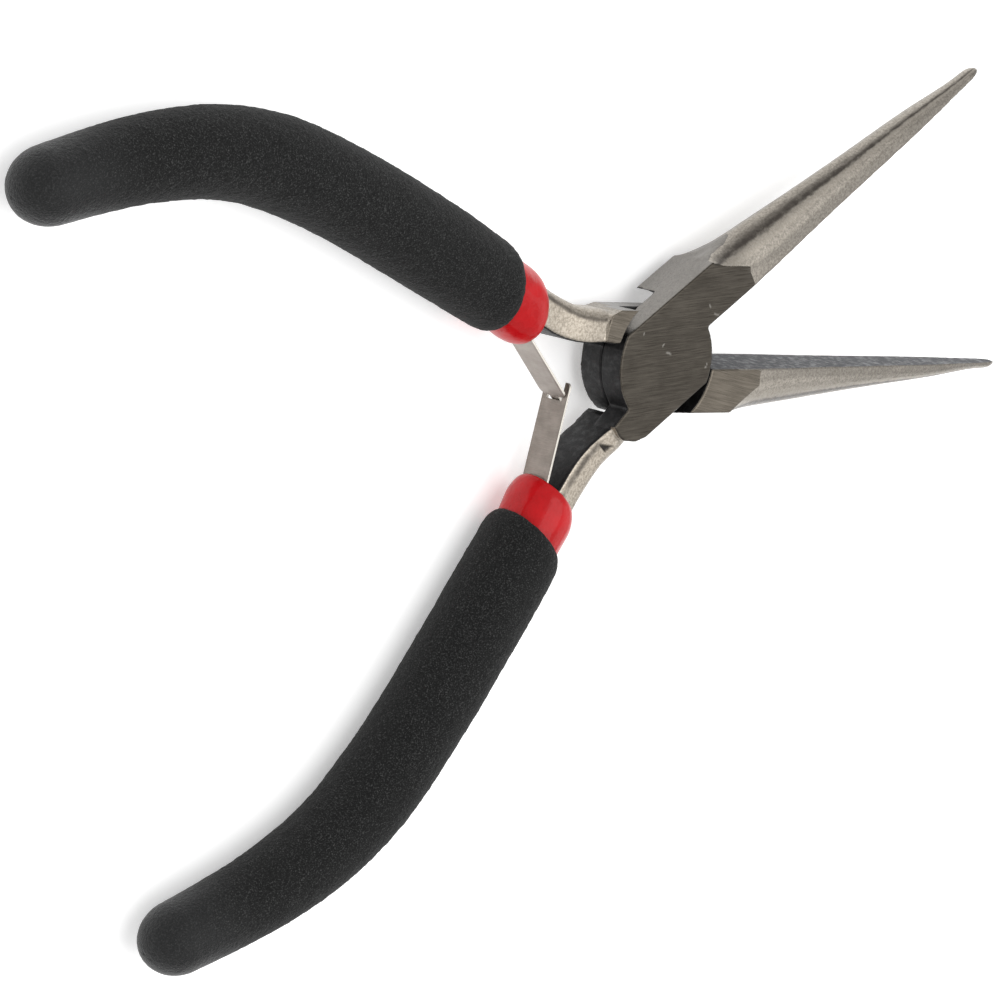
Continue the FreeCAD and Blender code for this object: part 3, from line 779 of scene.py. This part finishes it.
def between(start, end, first, last, spacing):
    """(distance, radius) pairs from start to end, without the start."""
    count = max(1, int(math.ceil((end - start) / spacing)))
    return [(start + (end - start) * i / count, first + (last - first) * i / count)
            for i in range(1, count + 1)]


def sleeve_profile(spacing):
    neck = FOAM_START + SKIN_STARTS
    profile = front_edge(0, COLLAR_EDGE_REACH, COLLAR_RADIUS, COLLAR_EDGE_DROP, 12)
    profile += between(COLLAR_EDGE_REACH, FOAM_START + 1, COLLAR_RADIUS, COLLAR_RADIUS, 0.3)
    profile += between(FOAM_START + 1, neck, COLLAR_RADIUS, SKIN_RADIUS, spacing)
    profile += between(neck, GRIP_LENGTH - DOME_LENGTH, SKIN_RADIUS, SKIN_END_RADIUS, 3.0)
    return profile


def foam_profile():
    middle = GRIP_LENGTH * 0.55
    dome = GRIP_LENGTH - DOME_LENGTH
    profile = front_edge(FOAM_START, FOAM_EDGE_REACH, FOAM_RADIUS, FOAM_EDGE_DROP, 14)
    profile += between(FOAM_START + FOAM_EDGE_REACH, middle, FOAM_RADIUS, FOAM_MIDDLE_RADIUS,
                       FOAM_SPACING)
    profile += between(middle, dome, FOAM_MIDDLE_RADIUS, FOAM_END_RADIUS, FOAM_SPACING)
    for a in np.linspace(0, math.radians(86), 22)[1:]:
        profile.append((dome + DOME_LENGTH * math.sin(a), FOAM_END_RADIUS * math.cos(a)))
    return profile


def bar_reach(side, distance, angles):
    """Distance from the grip line to the bar's surface at each angle, from the CAD half."""
    place = own_to_row(side)
    half = frame["nodes"][side + "_half"].data
    tree = BVHTree.FromPolygons([v.co for v in half.vertices],
                                [tuple(p.vertices) for p in half.polygons])
    centre, _ = ring_frame(distance)
    start = place @ Vector((centre[0], centre[1], 0))
    reach = []
    for p in ring_at(distance, 1.0, angles):
        direction = (place @ Vector(p) - start).normalized()
        hit = tree.ray_cast(start, direction)[0]
        reach.append((hit - start).length / MM if hit else 2.0)
    return np.array(reach)


def sleeve(side, material):
    """Dipped sleeve: rounded lip that closes on the bar, full collar, skin under the foam."""
    angles = np.linspace(0, 2 * math.pi, SLEEVE_SEGMENTS, endpoint=False)
    lip = bar_reach(side, 0.3, angles) + LIP_GAP
    towards_leaf = step(-0.7, 0.7, np.cos(angles))
    forward = curve_point(0.0) - curve_point(1.0)
    shift = MOUTH_AHEAD * towards_leaf[:, None] * np.append(forward, 0.0)
    profile = sleeve_profile(0.8)
    first = np.maximum(profile[0][1], lip + COLLAR_OVER_LIP)
    rings = [ring_at(depth, lip, angles) for depth in LIP_DEPTHS]
    rings.append(ring_at(0.06, lip + 0.03, angles) + shift)
    rings.append(ring_at(0.0, (lip + first) / 2, angles) + shift)
    for distance, radius in profile:
        mouth = 1 - min(1.0, distance / MOUTH_REACH) ** 2
        grown, filled = radius, 0.0
        if distance < COLLAR_EDGE_REACH:
            grown = np.maximum(radius, lip + COLLAR_OVER_LIP)
            filled = LIP_TIGHTER * max(0.0, COLLAR_RADIUS - radius)
        grown = grown + (MOUTH_FULLER * mouth + filled) * towards_leaf
        rings.append(ring_at(max(distance, 0.04), grown, angles) + mouth * shift)
    mesh = tube(side + "_sleeve_look", rings)
    points = get_points(mesh)
    lump = 0.05 * noise_at(points, 2.6, 3.0) + 0.02 * noise_at(points, 1.1, 8.0)
    set_points(mesh, points + get_normals(mesh) * lump[:, None])
    mesh.transform(own_to_row(side))
    piece = link_mesh(side + "_sleeve_look", mesh, material)
    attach(piece, side + "_handle")
    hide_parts(side + "_sleeve")


def foam_grip(side, material):
    """Foam tube over the sleeve: rounded front edge, pored skin, smoother domed end."""
    angles = np.linspace(0, 2 * math.pi, FOAM_SEGMENTS, endpoint=False)
    bore = [(d, r + FOAM_GAP) for d, r in sleeve_profile(2.0) if d > FOAM_START + 0.5]
    inside = [*reversed(bore), (FOAM_START + 0.15, COLLAR_RADIUS + 0.04)]
    outside = foam_profile()
    rings = [ring_at(distance, radius, angles) for distance, radius in inside + outside]
    mesh = tube(side + "_foam_grip_look", rings)
    points = get_points(mesh)
    outer = np.zeros(len(points))
    outer[len(bore) * FOAM_SEGMENTS:] = 1.0
    outer[-2] = 0.0                      # the middle point that closes the bore
    smoother = np.zeros(len(points))
    distances = np.repeat([distance for distance, _ in outside], FOAM_SEGMENTS)
    smoother[len(inside) * FOAM_SEGMENTS:-2] = step(GRIP_LENGTH - 16, GRIP_LENGTH - 4, distances)
    pore = 0.045 * noise_at(points, 0.42, 1.0) + 0.03 * noise_at(points, 0.9, 5.0)
    soft = 0.05 * noise_at(points, 5.0, 2.0)
    lift = outer * ((1 - 0.6 * smoother) * pore + soft)
    set_points(mesh, points + get_normals(mesh) * lift[:, None])
    add_attribute(mesh, "skin", smoother)
    mesh.transform(own_to_row(side))
    piece = link_mesh(side + "_foam_grip_look", mesh, material)
    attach(piece, side + "_handle")
    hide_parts(side + "_foam_grip")


# ---- double leaf spring ----
# Distances are along the leaf from its bend line. The right leaf ends in a fork, the left one in
# a tongue that goes through it.
LEAF_WIDTH = 4.4
LEAF_THICKNESS = 0.4
LEAF_THINNER = 0.06          # off either face along the strip's outer edges
LEAF_LENGTH = 12.0
LEAF_CORNER = 0.9
LEAF_BASE_END = (-31.5, -8.45)
LEAF_SEAT = (-26.2, -6.45)   # where the leaf leaves the bar and slopes up to the mouth
LEAF_HINGE = (-22.1, -2.4)   # bend line of the free leaf
LEAF_REST = math.radians(45.6)
LEAF_ALONG = np.array([math.cos(LEAF_REST), math.sin(LEAF_REST)])
LEAF_LINE = np.array([LEAF_BASE_END, LEAF_SEAT, LEAF_HINGE,
                      np.array(LEAF_HINGE) + LEAF_LENGTH * LEAF_ALONG])
LEAF_STATIONS = np.concatenate([[0], np.cumsum(np.linalg.norm(np.diff(LEAF_LINE, axis=0), axis=1))])
LEAF_STATIONS -= LEAF_STATIONS[2]
LEAF_PLAIN = 8.4             # the strip has no shaped end up to here
LEAF_SHOULDER = 9.75         # end of the full width beside the tongue
FORK_START = 9.65
FORK_WIDTH = 2.7
PRONG_CORNER = 0.6
TONGUE_WIDTH = 1.5
TONGUE_END = 10.8
TONGUE_CORNER = 0.3
BEND_SOFTNESS = 0.5          # the strip's bends are rounded over this length


def leaf_path(distances):
    """Points and normals along the leaf: clamped base, slope up to the mouth, free leaf."""
    def at(d):
        return np.stack([np.interp(d, LEAF_STATIONS, LEAF_LINE[:, k]) for k in (0, 1)], axis=1)

    middle = np.mean([at(distances + BEND_SOFTNESS * s) for s in (-1, -0.5, 0, 0.5, 1)], axis=0)
    middle[distances > 1] = at(distances[distances > 1])
    along = at(distances + 0.4) - at(distances - 0.4)
    along[distances > LEAF_LENGTH - 0.5] = LEAF_ALONG
    along /= np.linalg.norm(along, axis=1)[:, None]
    return middle, np.stack([-along[:, 1], along[:, 0]], axis=1)


def rounded_half_width(distances, width, end, corner):
    """Half the width of a strip that ends in two round corners."""
    into = np.clip(distances - (end - corner), 0, corner)
    return width / 2 - corner + np.sqrt(np.maximum(corner ** 2 - into ** 2, 0))


def leaf_half_width(distances, kind):
    """Half the strip's width along its length, with rounded corners and the tongue."""
    if kind == "fork":
        return rounded_half_width(distances, LEAF_WIDTH, LEAF_LENGTH, PRONG_CORNER)
    strip = rounded_half_width(distances, LEAF_WIDTH, LEAF_SHOULDER, LEAF_CORNER)
    tongue = rounded_half_width(distances, TONGUE_WIDTH, TONGUE_END, TONGUE_CORNER)
    return np.where(distances > LEAF_SHOULDER + 1e-6, tongue, strip)


def leaf_rows(kind):
    """Distances along the leaf of the mesh's rows, closer together at a shaped end."""
    def corner_rows(end, corner):
        return [end - corner + corner * math.sin(a) for a in np.linspace(0, math.pi / 2, 9)]

    rows = [*np.arange(LEAF_STATIONS[0], LEAF_PLAIN, 0.35)]
    if kind == "fork":
        rows += [*np.linspace(LEAF_PLAIN + 0.15, FORK_START, 5),
                 *np.linspace(FORK_START + 0.25, LEAF_LENGTH - PRONG_CORNER - 0.5, 5),
                 *corner_rows(LEAF_LENGTH, PRONG_CORNER)]
    else:
        rows += [*corner_rows(LEAF_SHOULDER, LEAF_CORNER), LEAF_SHOULDER + 0.002,
                 *np.linspace(LEAF_SHOULDER + 0.15, TONGUE_END - TONGUE_CORNER, 4),
                 *corner_rows(TONGUE_END, TONGUE_CORNER)]
    return np.array(sorted(set(np.round(rows, 4))))


def leaf_mesh(name, kind):
    """The strip as two layers of points, with walls around the outline and the slot."""
    distances = leaf_rows(kind)
    middle, normal = leaf_path(distances)
    half_width = leaf_half_width(distances, kind)
    gap = FORK_WIDTH / LEAF_WIDTH
    across = [-1, -0.94, -0.8, -gap, -0.4, -0.2, 0, 0.2, 0.4, gap, 0.8, 0.94, 1]
    rows, columns = len(distances), len(across)

    def sideways(share, half):
        if kind != "fork" or abs(share) < gap:
            return share * half
        prong = (abs(share) - gap) / (1 - gap) * (half - FORK_WIDTH / 2)
        return math.copysign(FORK_WIDTH / 2 + prong, share)

    def in_slot(k, c):
        beyond = distances[k] >= FORK_START - 1e-6
        return kind == "fork" and beyond and abs(across[c] + across[c + 1]) < 2 * gap

    def index(layer, k, c):
        return (layer * rows + k) * columns + c

    points = []
    for layer in (1, -1):
        for k in range(rows):
            for share in across:
                half = LEAF_THICKNESS / 2 - LEAF_THINNER * step(0.93, 1.0, abs(share))
                out = normal[k] * layer * half
                points.append((middle[k][0] + out[0], middle[k][1] + out[1],
                               sideways(share, half_width[k])))

    faces = []
    walls = []
    for k in range(rows - 1):
        for c in range(columns - 1):
            if in_slot(k, c):
                continue
            corners = [(k, c), (k, c + 1), (k + 1, c + 1), (k + 1, c)]
            faces.append([index(0, *p) for p in corners])
            faces.append([index(1, *p) for p in reversed(corners)])
            for p, q in zip(corners, corners[1:] + corners[:1]):
                if (q, p) in walls:
                    walls.remove((q, p))
                else:
                    walls.append((p, q))
    faces += [[index(0, *q), index(0, *p), index(1, *p), index(1, *q)] for p, q in walls]
    return mesh_from(name, points, faces)


def spring_leaf(side, kind, material):
    """Bent strip with rounded cut edges. It bends where it leaves the sleeve."""
    mesh = leaf_mesh(side + "_spring_leaf_look", kind)
    shell = bmesh.new()
    shell.from_mesh(mesh)
    bmesh.ops.remove_doubles(shell, verts=shell.verts, dist=0.0008)
    bmesh.ops.recalc_face_normals(shell, faces=shell.faces)
    sharp = [e for e in shell.edges if len(e.link_faces) == 2
             and e.calc_face_angle(0) > math.radians(40)]
    bmesh.ops.bevel(shell, geom=sharp, offset=0.05, segments=2, profile=0.6, affect="EDGES",
                    clamp_overlap=True)
    shell.to_mesh(mesh)
    shell.free()
    flat = np.abs(get_normals(mesh) @ np.array([-LEAF_ALONG[1], LEAF_ALONG[0], 0]))
    add_attribute(mesh, "edge", step(0.9, 0.6, flat))
    place = own_to_row(side)
    mesh.transform(place)
    piece = link_mesh(side + "_spring_leaf_look", mesh, material)
    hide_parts(side + "_spring_leaf", side + "_leaf_base")
    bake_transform(piece)


# ---- the whole tool ----
# A darker and a lighter tone for each half, and the heading of its scratches in degrees.
GROUND_STEEL = {"right": ((0.038, 0.033, 0.027), (0.080, 0.071, 0.059), -12),
                "left": ((0.082, 0.071, 0.057), (0.152, 0.133, 0.109), -28)}
LEAF_STEEL = {"right": ((0.200, 0.176, 0.155), (0.290, 0.258, 0.230)),
              "left": ((0.300, 0.272, 0.248), (0.410, 0.376, 0.344))}
rivet_steel = rivet_material()
red_pvc = pvc_material()
black_foam = foam_material()
pivot_rivet(rivet_steel)
for side, kind, nicks in (("right", "fork", 7), ("left", "tongue", 4)):
    steel_half(side, steel_half_material(side + "_half_steel", *GROUND_STEEL[side]), nicks)
    sleeve(side, red_pvc)
    foam_grip(side, black_foam)
    spring_leaf(side, kind, leaf_material(side + "_leaf_steel", *LEAF_STEEL[side]))
    leaf_rivet = frame["nodes"][side + "_leaf_rivet"]
    leaf_rivet.data.materials.clear()
    leaf_rivet.data.materials.append(rivet_steel)

# ---- floor, light and camera ----
FLOOR_GAP = 0.0002           # metres under the tool
FLOOR_HALF = 3.0
WORLD_STRENGTH = 0.75
CAMERA_PLACE = (-0.247970, 0.125629, 0.269422)
CAMERA_TURN = (-15.8339, -41.9655, -8.4928)
CAMERA_LENS = 110.417


def floor():
    level = cad_low.z - FLOOR_GAP
    corners = [(x * FLOOR_HALF, y * FLOOR_HALF, level)
               for x, y in ((-1, -1), (1, -1), (1, 1), (-1, 1))]
    mesh = mesh_from("floor", corners, [(0, 1, 2, 3)])
    link_mesh("floor", mesh, floor_material(), False)


def softbox(name, place, width, height, power):
    """White rectangular lamp that looks at the middle of the head."""
    lamp = bpy.data.lights.new(name, "AREA")
    lamp.shape = "RECTANGLE"
    lamp.size, lamp.size_y = width, height
    lamp.energy = power
    holder = bpy.data.objects.new(name, lamp)
    bpy.context.scene.collection.objects.link(holder)
    holder.location = place
    holder.rotation_euler = (-Vector(place)).to_track_quat("-Z", "Y").to_euler()


def world_light():
    world = bpy.data.worlds.new("studio")
    world.use_nodes = True
    background = world.node_tree.nodes["Background"]
    background.inputs["Color"].default_value = (1.0, 1.0, 1.0, 1)
    background.inputs["Strength"].default_value = WORLD_STRENGTH
    bpy.context.scene.world = world


def camera():
    lens = bpy.data.cameras.new("camera")
    lens.lens = CAMERA_LENS
    lens.sensor_width = 36.0
    lens.clip_start = 0.01
    lens.clip_end = 20
    holder = bpy.data.objects.new("camera", lens)
    bpy.context.scene.collection.objects.link(holder)
    holder.location = CAMERA_PLACE
    holder.rotation_euler = [math.radians(turn) for turn in CAMERA_TURN]
    bpy.context.scene.camera = holder


floor()
world_light()
softbox("overhead", (0.10, 0.10, 0.9), 1.0, 1.0, 6.2)
softbox("side", (0.626, -0.391, 0.479), 0.75, 0.54, 1.10)
softbox("strip", (-0.55, -0.55, 0.30), 0.12, 0.6, 1.0)
camera()
bpy.context.scene.view_settings.view_transform = "Standard"
